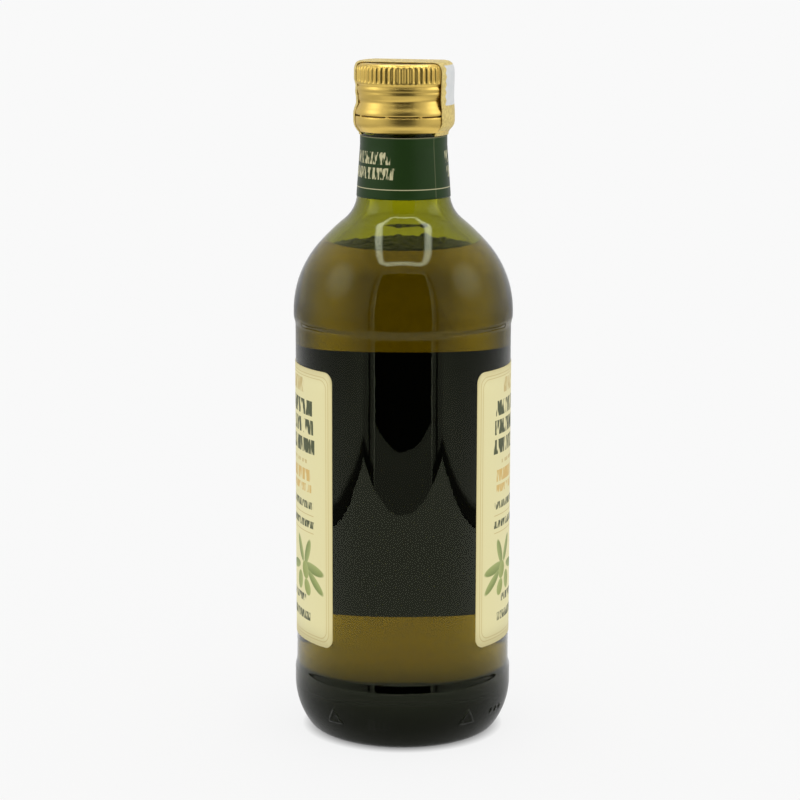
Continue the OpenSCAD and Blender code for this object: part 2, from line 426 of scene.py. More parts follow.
@dataclass(frozen=True)
class BodyLabelPrint:
    """The outside of the body label: border lines, plain fields of print and a sprig at each end.

    Attributes:
        name: the material's name.
        radius: radius of the label.
        turn: direction of the middle of the bare glass, in degrees to the right of the front.
        gap: angle of bare glass.
        low: lower edge of the label.
        high: upper edge of the label.
        border_inset: distances of the two border lines from the edge.
        line_half: half the width of a border line.
        rows_from: height from which the back's rows of print are counted.
        rows_half_pitch: half the distance from one row to the next.
        rows_z: height of the middle of the rows.
        rows_half_h: half the height that they cover.
        rows_half_w: half the width that they cover.
    """

    name: str
    radius: float
    turn: float
    gap: float
    low: float
    high: float
    border_inset: tuple[float, float] = (1.75, 2.75)
    line_half: float = 0.13
    rows_from: float = 44.0
    rows_half_pitch: float = 2.1
    rows_z: float = 80.0
    rows_half_h: float = 35.7
    rows_half_w: float = 24.0

    BARS = (
        Bar(116.8, 121.6, 15.6, 38.0, Tint.GOLD_LINE, 1.1),
        Bar(109.6, 114.6, 9.9, 44.0, Tint.DARK_PRINT, 1.5),
        Bar(103.4, 108.2, 9.3, 44.6, Tint.DARK_PRINT, 1.4),
        Bar(97.0, 101.8, 8.6, 45.3, Tint.DARK_PRINT, 1.5),
        Bar(93.4, 94.6, 13.6, 40.3, Tint.GOLD_LINE, 1.3),
        Bar(87.6, 91.5, 10.6, 43.3, Tint.GOLD_PRINT, 1.4),
        Bar(83.9, 86.5, 10.6, 43.3, Tint.GOLD_PRINT, 1.0),
        Bar(78.4, 80.8, 9.6, 44.3, Tint.DARK_PRINT, 0.7),
        Bar(76.2, 76.45, 9.3, 44.6, Tint.GOLD_LINE),
        Bar(72.0, 74.4, 9.2, 44.7, Tint.DARK_PRINT, 0.7),
        Bar(70.3, 70.55, 9.3, 44.6, Tint.GOLD_LINE),
        Bar(46.4, 48.9, 14.6, 39.3, Tint.DARK_PRINT, 0.7),
        Bar(40.4, 43.2, 11.6, 42.3, Tint.DARK_PRINT, 0.7),
    )
    LEAVES = (
        Leaf(9.6, 58.4, 5.6, 1.7, 10, Tint.LEAF, Tint.LEAF_LIGHT),
        Leaf(8.6, 54.0, 5.4, 1.5, 38, Tint.LEAF, Tint.LEAF_LIGHT),
        Leaf(13.4, 63.6, 4.6, 1.6, 112, Tint.LEAF, Tint.LEAF_LIGHT),
        Leaf(19.0, 64.0, 4.8, 1.6, 60, Tint.LEAF, Tint.LEAF_LIGHT),
        Leaf(15.0, 57.2, 3.0, 2.3, 70, Tint.OLIVE, Tint.LEAF_LIGHT),
        Leaf(13.6, 51.6, 2.9, 2.0, 60, Tint.OLIVE, Tint.LEAF_LIGHT),
        Leaf(19.6, 53.0, 3.2, 2.3, 100, Tint.OLIVE, Tint.LEAF_LIGHT),
        Leaf(24.6, 57.5, 5.2, 1.6, 170, Tint.LEAF, Tint.LEAF_LIGHT),
    )

    def build(self) -> bpy.types.Material:
        """Makes the material."""
        material, graph = new_material(self.name)
        x, y, z = graph.place()
        round_ = graph.math("ARCTAN2", x, 0 - y) * (180 / math.pi) - self.turn
        # the two halves are alike, so distance is measured from the nearer end
        turned = graph.math("WRAP", round_, 180.0, -180.0)
        across = (abs(turned) - self.gap / 2) * (self.radius * math.pi / 180)
        length = (360 - self.gap) * math.pi / 180 * self.radius

        inside = graph.math("MINIMUM", across, graph.math("MINIMUM", z - self.low, self.high - z))
        tone = graph.mix(Tint.CREAM_EDGE.value, Tint.CREAM.value, (inside / 4.2).clamp() ** 0.7)
        for inset in self.border_inset:
            line = self._rounded_line(graph, across, z, inset)
            tone = graph.mix(tone, Tint.GOLD_LINE.value, line * 0.75)
        for bar in self.BARS:
            tone = graph.mix(tone, bar.tint.value, self._bar_mask(graph, across, z, bar))
        for leaf in self.LEAVES:
            mask, lit = self._leaf_mask(graph, across, z, leaf)
            tone = graph.mix(tone, graph.mix(leaf.tint.value, leaf.light.value, lit), mask)
        rows = graph.math("PINGPONG", z - self.rows_from, self.rows_half_pitch).above(1.25, 0.2)
        block = z.near(self.rows_z, self.rows_half_h, 0.2) * across.above(length / 2 - self.rows_half_w, 0.3)
        ragged = graph.noise(700, 0.0, (1, 1, 0.35)).above(0.45, 0.05)
        tone = graph.mix(tone, Tint.DARK_PRINT.value, rows * block * ragged * 0.8)

        grain = graph.noise(1800, 3.0)
        tone = graph.mix(tone, Tint.CREAM_EDGE.value, grain * 0.10)
        normal = graph.bump(grain, 0.012)
        graph.output(graph.principled(Base_Color=tone, Roughness=0.55, Normal=normal))
        return material

    def _rounded_line(self, graph: Graph, across: Value, z: Value, inset: float) -> Value:
        """A line that runs round the label at an even distance inside its edge.

        Args:
            graph: graph to add to.
            across: distance from the label's end.
            z: height.
            inset: distance of the line from the edge.

        Returns:
            A mask.
        """
        corner = 3.0
        high = self.high - inset - corner
        low = self.low + inset + corner
        side = graph.math("MAXIMUM", (inset + corner) - across, 0.0)
        up = graph.math("MAXIMUM", abs(z - (high + low) / 2) - (high - low) / 2, 0.0)
        reach = graph.math("SQRT", side * side + up * up)
        return reach.near(corner, self.line_half, 0.12)

    def _bar_mask(self, graph: Graph, across: Value, z: Value, bar: Bar) -> Value:
        """The mask of a field of print, broken into blocks if it has them."""
        soft = 0.18
        mask = z.near((bar.low + bar.high) / 2, (bar.high - bar.low) / 2, soft)
        mask = mask * across.near((bar.near + bar.far) / 2, (bar.far - bar.near) / 2, soft)
        if bar.block:
            strokes = graph.noise(1 / (bar.block * MM), 1.0, (1, 1, 0.22))
            mask = mask * strokes.above(0.47, 0.10)
        return mask

    def _leaf_mask(self, graph: Graph, across: Value, z: Value, leaf: Leaf) -> tuple[Value, Value]:
        """The mask of an ellipse, and a second one for its lighter half."""
        cosine, sine = math.cos(math.radians(leaf.turn)), math.sin(math.radians(leaf.turn))
        side, up = across - leaf.across, z - leaf.height
        along = (side * cosine + up * sine) / leaf.length
        over = (up * cosine - side * sine) / leaf.width
        reach = graph.math("SQRT", along * along + over * over)
        return 1 - reach.above(1.0, 0.3 / leaf.width), (over * 0.5 + 0.4).clamp()


@dataclass(frozen=True)
class NeckLabelPrint:
    """The outside of the neck label: dark green with pale lines and plain fields.

    Attributes:
        name: the material's name.
        low: lower edge.
        high: upper edge.
        seam: direction of the seam, in degrees to the right of the front.
        fields: lower edge, upper edge, first and last direction of each field of print.
    """

    name: str
    low: float
    high: float
    seam: float = 43.0
    fields: tuple[tuple[float, float, float, float], ...] = (
        (190.9, 194.8, -97.0, -17.5),
        (186.1, 189.8, -102.0, -11.0),
        (190.9, 194.8, 66.0, 146.0),
        (186.1, 189.8, 70.0, 142.0),
    )

    def build(self) -> bpy.types.Material:
        """Makes the material."""
        material, graph = new_material(self.name)
        x, y, z = graph.place()
        angle = graph.math("ARCTAN2", x, 0 - y) * (180 / math.pi)
        cloud = graph.noise(120, 2.0)
        tone = graph.mix(Tint.GREEN.value, tuple(part * 1.35 for part in Tint.GREEN.value), cloud)
        print_ = Tint.NECK_PRINT.value
        tone = graph.mix(tone, print_, z.near(self.low + 3.25, 0.13, 0.12) * 0.85)
        tone = graph.mix(tone, print_, z.above(self.high - 0.28, 0.1) * 0.35)
        tone = graph.mix(tone, print_, angle.near(self.seam, 0.7, 0.5) * 0.10)
        for low, high, first, last in self.fields:
            mask = z.near((low + high) / 2, (high - low) / 2, 0.15)
            mask = mask * angle.near((first + last) / 2, (last - first) / 2, 0.6)
            strokes = graph.noise(1300, 1.0, (1, 1, 0.22)).above(0.52, 0.08)
            tone = graph.mix(tone, print_, mask * strokes * 0.9)
        grain = graph.noise(1500, 2.0)
        normal = graph.bump(grain, 0.008)
        values = {"Base_Color": tone, "Roughness": 0.36, "Normal": normal, "Specular_IOR_Level": 0.2}
        graph.output(graph.principled(**values))
        return material


@dataclass(frozen=True)
class StripPrint:
    """The seal strip's paper: a mottled tint with a silvery patch on the right leg, scalloped at its edge.

    Attributes:
        name: the material's name.
        turn: direction of the strip's right leg, in degrees to the right of the front.
        patch_low: lower edge of the patch.
        patch_high: upper edge of the patch.
    """

    name: str
    turn: float
    patch_low: float = 209.6
    patch_high: float = 222.4

    def build(self) -> bpy.types.Material:
        """Makes the material."""
        material, graph = new_material(self.name)
        x, y, z = graph.place()
        turn = math.radians(self.turn)
        side = x * (-math.cos(turn)) - y * math.sin(turn)
        mottle = graph.noise(1100, 4.0).above(0.52, 0.3)
        tone = graph.mix(Tint.STRIP.value, Tint.STRIP_DARK.value, mottle)
        scallop = graph.math("PINGPONG", z, 1.25) * 0.5
        middle, half = (self.patch_low + self.patch_high) / 2, (self.patch_high - self.patch_low) / 2
        patch = (abs(side - 0.6) + scallop).near(0.0, 5.4, 0.3) * z.near(middle, half, 0.3)
        patch = patch * x.above(0, 1)
        sparkle = graph.noise(420, 3.0)
        foil = graph.mix(Tint.FOIL.value, (0.62, 0.66, 0.68), sparkle)
        tone = graph.mix(tone, foil, patch)
        normal = graph.bump(graph.noise(260, 2.0), 0.12, 0.6)
        rough = 0.5 - patch * 0.15
        values = {"Base_Color": tone, "Roughness": rough, "Metallic": patch * 0.35, "Normal": normal}
        graph.output(graph.principled(**values))
        return material


# ---------------------------------------------------------------------------------------------
# Meshes
# ---------------------------------------------------------------------------------------------


@dataclass
class Outline:
    """A line of points in the half plane of a turned body: distance from the axis and height."""

    points: list[Point] = field(default_factory=list)

    def to(self, x: float, z: float, pad: float = 0.35) -> "Outline":
        """Runs straight to a point, with a further point near each end so that smoothing stays local."""
        if self.points:
            x0, z0 = self.points[-1]
            length = math.hypot(x - x0, z - z0)
            if length > 3 * pad:
                for share in (pad / length, 1 - pad / length):
                    self.points.append((x0 + (x - x0) * share, z0 + (z - z0) * share))
        self.points.append((x, z))
        return self

    def arc(self, centre: Point, radius: float, start: float, end: float, steps: int) -> "Outline":
        """Runs along a circle.

        Args:
            centre: the circle's centre.
            radius: its radius.
            start: first angle, in degrees from the outward direction towards up.
            end: last angle.
            steps: number of chords.

        Returns:
            The outline itself.
        """
        for i in range(steps + 1):
            angle = math.radians(start + (end - start) * i / steps)
            point = (centre[0] + radius * math.cos(angle), centre[1] + radius * math.sin(angle))
            if not self.points or math.dist(point, self.points[-1]) > 1e-4:
                self.points.append(point)
        return self

    def step(self, low: Point, high: Point, steps: int = 10) -> "Outline":
        """Runs from one radius to another along a soft S."""
        for i in range(steps + 1):
            t = i / steps
            soft = t * t * (3 - 2 * t)
            point = (low[0] + (high[0] - low[0]) * soft, low[1] + (high[1] - low[1]) * t)
            if math.dist(point, self.points[-1]) > 1e-4:
                self.points.append(point)
        return self

    def radius_at(self, z: float) -> float:
        """The outline's distance from the axis at a height, from the highest place that has it."""
        for (x0, z0), (x1, z1) in zip(self.points[::-1][1:], self.points[::-1]):
            if min(z0, z1) <= z <= max(z0, z1) and z0 != z1:
                return x0 + (x1 - x0) * (z - z0) / (z1 - z0)
        raise ValueError(f"the outline does not reach {z}")


@dataclass
class Builder:
    """Collects vertices and faces, in millimetres, and makes a mesh object from them."""

    vertices: list[tuple[float, float, float]] = field(default_factory=list)
    marks: list[float] = field(default_factory=list)
    faces: list[tuple[int, ...]] = field(default_factory=list)
    finishes: list[int] = field(default_factory=list)
    smooth: list[bool] = field(default_factory=list)

    def vertex(self, x: float, y: float, z: float, mark: float = 0.0) -> int:
        """Adds a vertex that carries a mark, and returns its index."""
        self.vertices.append((x * MM, y * MM, z * MM))
        self.marks.append(mark)
        return len(self.vertices) - 1

    def face(self, corners: Sequence[int], finish: int = 0, smooth: bool = True) -> None:
        """Adds a face that takes the finish with that number."""
        self.faces.append(tuple(corners))
        self.finishes.append(finish)
        self.smooth.append(smooth)

    def ring(
        self, radius: float, z: float, count: int, mark: float = 0.0, shape: Shape | None = None
    ) -> list[int]:
        """Adds a ring of vertices round the axis.

        Args:
            radius: the ring's radius.
            z: its height.
            count: number of vertices.
            mark: what each vertex carries.
            shape: gives the true radius from the plain one, the direction in degrees and the height.

        Returns:
            The indices, turning anticlockwise as seen from above.
        """
        found = []
        for i in range(count):
            angle = 2 * math.pi * i / count
            true = shape(radius, facing(math.degrees(angle)), z) if shape else radius
            found.append(self.vertex(true * math.cos(angle), true * math.sin(angle), z, mark))
        return found

    def join(self, first: list[int], second: list[int], finish: int = 0) -> None:
        """Joins two rings with faces, where one ring may have a multiple of the other's vertices."""
        n, m = len(first), len(second)
        count = min(n, m)
        for i in range(count):
            low = [first[(i * n // count + k) % n] for k in range(n // count + 1)]
            high = [second[(i * m // count + k) % m] for k in range(m // count + 1)]
            self.face(low + high[::-1], finish)

    def fan(self, ring: list[int], centre: int, finish: int = 0) -> None:
        """Closes the start of a turned body: a fan from a centre out to its first ring."""
        for i, corner in enumerate(ring):
            self.face((centre, ring[(i + 1) % len(ring)], corner), finish)

    def fan_end(self, ring: list[int], centre: int, finish: int = 0) -> None:
        """Closes the end of a turned body: a fan from its last ring in to a centre."""
        for i, corner in enumerate(ring):
            self.face((corner, ring[(i + 1) % len(ring)], centre), finish)

    def enclose(self, first: int, rings: list[list[int]], last: int) -> None:
        """Joins rings in order into a closed turned body, from one centre to another."""
        self.fan(rings[0], first)
        for low, high in zip(rings, rings[1:]):
            self.join(low, high)
        self.fan_end(rings[-1], last)

    def sheet(
        self, outer: list[list[int]], inner: list[list[int]], closed: bool, under: int = 0,
        smooth_rim: bool = True
    ) -> None:
        """Joins two grids of vertices into a sheet with thickness.

        Args:
            outer: vertices of the outside, by column and then from low to high.
            inner: vertices of the underside, in the same order.
            closed: whether the last column joins the first.
            under: finish of the underside.
            smooth_rim: whether the cut edge is smooth shaded.
        """
        count, height = len(outer), len(outer[0])
        for i in range(count if closed else count - 1):
            j = (i + 1) % count
            for k in range(height - 1):
                self.face((outer[i][k], outer[j][k], outer[j][k + 1], outer[i][k + 1]))
                self.face((inner[i][k], inner[i][k + 1], inner[j][k + 1], inner[j][k]), under)
            self.face((outer[i][0], inner[i][0], inner[j][0], outer[j][0]), 0, smooth_rim)
            self.face((outer[i][-1], outer[j][-1], inner[j][-1], inner[i][-1]), 0, smooth_rim)
        if closed:
            return
        for k in range(height - 1):
            self.face((outer[0][k], outer[0][k + 1], inner[0][k + 1], inner[0][k]), 0, smooth_rim)
            self.face((outer[-1][k], inner[-1][k], inner[-1][k + 1], outer[-1][k + 1]), 0, smooth_rim)

    def build(
        self, name: str, materials: Sequence[bpy.types.Material], attribute: str = ""
    ) -> bpy.types.Object:
        """Makes the object.

        Args:
            name: name of the piece.
            materials: its materials, by finish number.
            attribute: name under which the vertices' marks are stored, if they are.

        Returns:
            The object, linked to the scene.
        """
        mesh = bpy.data.meshes.new(name)
        mesh.from_pydata(self.vertices, [], self.faces)
        mesh.polygons.foreach_set("material_index", self.finishes)
        mesh.polygons.foreach_set("use_smooth", self.smooth)
        if attribute:
            layer = mesh.attributes.new(attribute, "FLOAT", "POINT")
            layer.data.foreach_set("value", self.marks)
        for material in materials:
            mesh.materials.append(material)
        mesh.validate()
        mesh.update()
        made = bpy.data.objects.new(name, mesh)
        bpy.context.scene.collection.objects.link(made)
        return made


def facing(angle: float) -> float:
    """Turns an angle from +X into a direction to the right of the front, from -180 to 180 degrees."""
    return (angle + 90 + 180) % 360 - 180


def direction(facing_angle: float) -> tuple[float, float]:
    """The X and Y of a unit step in a direction to the right of the front."""
    angle = math.radians(facing_angle)
    return math.sin(angle), -math.cos(angle)


def soft_step(value: float, edge: float, soft: float) -> float:
    """1 above edge, 0 below, turning over a width of soft."""
    t = min(1.0, max(0.0, (value - edge) / soft + 0.5))
    return t * t * (3 - 2 * t)


def register(piece: bpy.types.Object, slot: str, *nodes: str) -> bpy.types.Object:
    """Ties a piece to the frame.

    Args:
        piece: the piece.
        slot: material slot that it takes its finish from; not used.
        nodes: CAD nodes that it stands for.

    Returns:
        The piece.
    """
    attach(piece, "root")
    if nodes:
        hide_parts(*nodes)
    LOG.info("%s: %d faces, stands for %s", piece.name, len(piece.data.polygons), ", ".join(nodes) or "-")
    return piece


# ---------------------------------------------------------------------------------------------
# The bottle and what it holds
# ---------------------------------------------------------------------------------------------


@dataclass(frozen=True)
class BottleForm:
    """The glass form that the pieces share, in millimetres.

    Attributes:
        body_r: radius of the body above and below the panel.
        panel_depth: how far the panel lies under the body's surface.
        panel_low: middle of the step at the panel's foot.
        panel_high: middle of the step at its top.
        step_h: height of each of these steps.
        wall: thickness of the glass on the panel.
        neck_wall: thickness of the glass in the neck.
        heel_tight_r: radius of the heel's lower curve.
        heel_slow_r: radius of its upper curve.
        heel_turn: angle at which the two meet.
        punt_h: height of the hollow under the base.
        stand_w: width of the flat ring that the bottle stands on.
        base_t: thickness of the floor at its middle.
        floor_corner_r: radius of the curve from the floor to the wall inside.
        shoulder_h: height at which the shoulder begins.
        shoulder_r: radius of its lower curve.
        shoulder_turn: angle at which its lower curve runs into the flatter one.
        slope_r: radius of the flatter curve.
        fillet_r: radius of the curve under the neck.
        neck_low_r: radius of the neck at its foot.
        neck_high_r: radius of the neck where its taper ends.
        taper_top_z: height at which the taper ends.
        cap_z: height of the cap's lower edge.
        rim_z: height of the rim.
        bead_r: radius of the bead under the cap's band.
        fill_z: level of the oil with its froth.
        froth_h: depth of the froth.
    """

    body_r: float = 36.17
    panel_depth: float = 0.57
    panel_low: float = 22.0
    panel_high: float = 138.8
    step_h: float = 3.6
    wall: float = 2.6
    neck_wall: float = 4.0
    heel_tight_r: float = 5.0
    heel_slow_r: float = 24.7
    heel_turn: float = 35.0
    punt_h: float = 4.0
    stand_w: float = 4.0
    base_t: float = 12.0
    floor_corner_r: float = 9.0
    shoulder_h: float = 141.8
    shoulder_r: float = 33.2
    shoulder_turn: float = 41.0
    slope_r: float = 72.0
    fillet_r: float = 11.3
    neck_low_r: float = 15.25
    neck_high_r: float = 14.1
    taper_top_z: float = 196.36
    cap_z: float = 200.76
    rim_z: float = 221.4
    bead_r: float = 15.05
    fill_z: float = 164.45
    froth_h: float = 1.1

    @property
    def panel_r(self) -> float:
        """Radius of the recessed panel."""
        return self.body_r - self.panel_depth

    @property
    def cavity_r(self) -> float:
        """Radius of the straight inside wall."""
        return self.panel_r - self.wall

    @property
    def slope_centre(self) -> Point:
        """Centre of the flatter shoulder curve."""
        angle = math.radians(self.shoulder_turn)
        reach = self.slope_r - self.shoulder_r
        x = self.body_r - self.shoulder_r - reach * math.cos(angle)
        return x, self.shoulder_h - reach * math.sin(angle)

    @property
    def slope_turn(self) -> float:
        """Angle at which the flatter shoulder curve runs into the fillet under the neck."""
        run = self.neck_low_r + self.fillet_r - self.slope_centre[0]
        return math.degrees(math.acos(run / (self.slope_r + self.fillet_r)))

    @property
    def neck_z(self) -> float:
        """Height at which the fillet ends and the neck begins."""
        reach = self.slope_r + self.fillet_r
        return self.slope_centre[1] + reach * math.sin(math.radians(self.slope_turn))

    @property
    def oil_z(self) -> float:
        """Level of the oil itself, under its froth."""
        return self.fill_z - self.froth_h

    @property
    def punt_r(self) -> float:
        """Radius of the hollow under the base."""
        reach = self.heel_tight_x - self.stand_w
        return (reach * reach + self.punt_h * self.punt_h) / (2 * self.punt_h)

    @property
    def heel_tight_x(self) -> float:
        """Distance of the tight heel curve's centre from the axis."""
        turn = math.radians(self.heel_turn)
        return self.body_r - self.heel_slow_r + (self.heel_slow_r - self.heel_tight_r) * math.cos(turn)

    @property
    def heel_slow_z(self) -> float:
        """Height of the slow heel curve's centre."""
        turn = math.radians(self.heel_turn)
        return self.heel_tight_r + (self.heel_slow_r - self.heel_tight_r) * math.sin(turn)

    def _shoulder(self, thickness: Callable[[float], float]) -> list[Point]:
        """The shoulder's three curves from the body up to the neck.

        Args:
            thickness: how far inside the outer face the points lie, from the height on that face.

        Returns:
            The points, from low to high.
        """
        neck = (self.neck_low_r + self.fillet_r, self.neck_z)
        arcs = (
            ((self.body_r - self.shoulder_r, self.shoulder_h), self.shoulder_r, 0, self.shoulder_turn, 26),
            (self.slope_centre, self.slope_r, self.shoulder_turn, self.slope_turn, 12),
            (neck, -self.fillet_r, self.slope_turn, 0, 18),
        )
        points = []
        for centre, radius, start, end, steps in arcs:
            for i in range(steps + 1):
                angle = math.radians(start + (end - start) * i / steps)
                inset = thickness(centre[1] + radius * math.sin(angle))
                reach = radius - inset
                point = (centre[0] + reach * math.cos(angle), centre[1] + reach * math.sin(angle))
                if not points or math.dist(point, points[-1]) > 1e-3:
                    points.append(point)
        return points

    def _thickness(self, z: float) -> float:
        """Thickness of the glass at a height of the shoulder or the neck: it grows towards the neck."""
        body = self.body_r - self.cavity_r
        return body + (self.neck_wall - body) * soft_step(z, self.neck_z - 2, 36)

    def outer(self) -> Outline:
        """The outer face, from the middle of the base out, up and over the rim."""
        line = Outline()
        edge = math.degrees(math.acos((self.heel_tight_x - self.stand_w) / self.punt_r))
        line.arc((0, self.punt_h - self.punt_r), self.punt_r, 90, edge, 14)
        line.to(self.heel_tight_x, 0)
        line.arc((self.heel_tight_x, self.heel_tight_r), self.heel_tight_r, -90, -self.heel_turn, 10)
        slow = (self.body_r - self.heel_slow_r, self.heel_slow_z)
        line.arc(slow, self.heel_slow_r, -self.heel_turn, 0, 75)
        half = self.step_h / 2
        line.to(self.body_r, self.panel_low - half)
        line.step((self.body_r, self.panel_low - half), (self.panel_r, self.panel_low + half))
        line.to(self.panel_r, self.panel_high - half)
        line.step((self.panel_r, self.panel_high - half), (self.body_r, self.panel_high + half))
        line.to(self.body_r, self.shoulder_h, 0.3)
        line.points += self._shoulder(lambda z: 0.0)[1:]
        line.to(self.neck_high_r, self.taper_top_z)
        line.to(self.neck_high_r, self.cap_z + 2)
        line.step((self.neck_high_r, self.cap_z + 2), (self.bead_r, self.cap_z + 2.8), 5)
        line.to(self.bead_r, self.cap_z + 4.2, 0.3)
        line.step((self.bead_r, self.cap_z + 4.2), (self.neck_high_r, self.cap_z + 5), 5)
        line.to(self.neck_high_r, self.rim_z - 0.8)
        line.arc((self.neck_high_r - 0.8, self.rim_z - 0.8), 0.8, 0, 90, 6)
        return line

    def inner(self, grow: float = 0.0) -> Outline:
        """The inner face, from the rim down to the middle of the floor.

        Args:
            grow: how far the face is moved into the glass.

        Returns:
            The outline.
        """
        line = Outline()
        top_x = self.neck_high_r - self.neck_wall + grow
        line.arc((top_x + 0.8, self.rim_z - 0.8), 0.8, 90, 180, 6)
        line.to(top_x, self.taper_top_z)
        line.points += self._shoulder(lambda z: self._thickness(z) - grow)[::-1]
        wall_x = self.cavity_r + grow
        dome_z = self.punt_h + self.base_t - self.punt_r
        corner_x = self.cavity_r - self.floor_corner_r
        floor_z = dome_z + math.sqrt(self.punt_r ** 2 - corner_x ** 2)
        line.to(wall_x, floor_z + self.floor_corner_r)
        line.arc((corner_x, floor_z + self.floor_corner_r), self.floor_corner_r + grow, 0, -78, 16)
        edge = math.degrees(math.acos((corner_x - 1.0) / self.punt_r))
        line.arc((0, dome_z), self.punt_r - grow, edge, 90, 14)
        return line


class Mark(Enum):
    """Shapes of the marks moulded round the heel."""

    TRIANGLE = "triangle"
    BARS = "bars"
    DOTS = "dots"


@dataclass(frozen=True)
class HeelMarks:
    """The plain marks that stand proud of the heel.

    Attributes:
        height: how far they stand out.
        middle_z: height of their middle above the base.
        size: size of the larger marks.
        places: direction, shape and count of each mark.
    """

    height: float = 0.3
    middle_z: float = 10.0
    size: float = 6.0
    places: tuple[tuple[float, Mark, int], ...] = (
        (-39, Mark.TRIANGLE, 1), (-12, Mark.BARS, 5), (37, Mark.TRIANGLE, 1), (61, Mark.DOTS, 3),
        (150, Mark.BARS, 4), (180, Mark.TRIANGLE, 1), (212, Mark.DOTS, 4),
    )

    def rise(self, radius: float, angle: float, z: float) -> float:
        """How far the marks stand out at a place of the heel.

        Args:
            radius: the heel's radius there.
            angle: direction to the right of the front, in degrees.
            z: height.

        Returns:
            The rise in millimetres.
        """
        up = z - self.middle_z
        if abs(up) > self.size:
            return 0.0
        most = 0.0
        for place, mark, count in self.places:
            side = ((angle - place + 180) % 360 - 180) * math.pi / 180 * radius
            if abs(side) < 1.5 * self.size:
                most = max(most, self._cover(mark, count, side, up))
        return most * self.height

    def _cover(self, mark: Mark, count: int, side: float, up: float) -> float:
        """1 on the mark and 0 off it, with soft sides.

        Args:
            mark: shape.
            count: number of bars or dots.
            side: distance to the right of the mark's middle.
            up: distance above its middle.

        Returns:
            The cover from 0 to 1.
        """
        soft = 0.3
        if mark is Mark.TRIANGLE:
            edges = [math.radians(angle) for angle in (-90, 30, 150)]
            reach = max(side * math.cos(a) + up * math.sin(a) for a in edges)
            outer, inner = self.size * 0.30, self.size * 0.155
            return soft_step(outer - reach, 0, soft) * soft_step(reach - inner, 0, soft)
        if mark is Mark.BARS:
            size = self.size * 0.7
            pitch = size / 2.5
            nearest = min(abs(side - (i - (count - 1) / 2) * pitch) for i in range(count))
            return soft_step(pitch / 5 - nearest, 0, soft) * soft_step(size / 2 - abs(up), 0, soft)
        pitch = self.size / 2
        nearest = min(math.hypot(side - (i - (count - 1) / 2) * pitch, up) for i in range(count))
        return soft_step(self.size / 6 - nearest, 0, soft)


@dataclass
class GlassBottle:
    """The hollow glass bottle, as one closed mesh.

    Attributes:
        form: the glass form.
        marks: the marks on the heel.
        finish: the glass.
        wet_z: height up to which the oil touches the inner wall.
        heel_r: least radius at which the heel can carry marks.
        coarse: vertices of a plain ring.
        fine: vertices of a ring that carries marks.
    """

    form: BottleForm
    marks: HeelMarks
    finish: ClearBody
    wet_z: float
    heel_r: float = 28.0
    coarse: int = 180
    fine: int = 900

    def build(self) -> bpy.types.Object:
        """Makes the piece: fine rings carry the heel's marks, and the wall below the oil is marked wet."""
        builder = Builder()
        outer = self.form.outer().points
        inner = self.form.inner().points
        start = builder.vertex(0, 0, outer[0][1])
        rings = []
        for radius, z in outer[1:]:
            marked = abs(z - self.marks.middle_z) < self.marks.size * 0.75 and radius > self.heel_r
            rings.append(builder.ring(radius, z, self.fine if marked else self.coarse, 0.0, self._relief))
        for radius, z in self._split(inner[:-1]):
            rings.append(builder.ring(radius, z, self.coarse, float(z < self.wet_z)))
        builder.enclose(start, rings, builder.vertex(0, 0, inner[-1][1], 1.0))
        return register(builder.build("glass_bottle", [self.finish.build()], "wet"), "green_glass", "bottle")

    def _relief(self, radius: float, angle: float, z: float) -> float:
        """The heel's radius with the marks, which never pass the body's own radius."""
        return max(radius, min(radius + self.marks.rise(radius, angle, z), self.form.body_r))

    def _split(self, points: list[Point]) -> list[Point]:
        """The inner face's points with two more just above and below the level where it turns wet."""
        found = []
        for first, second in zip(points, points[1:] + points[-1:]):
            found.append(first)
            if first[1] > self.wet_z > second[1]:
                for z in (self.wet_z + 0.01, self.wet_z - 0.01):
                    share = (first[1] - z) / (first[1] - second[1])
                    found.append((first[0] + (second[0] - first[0]) * share, z))
        return found


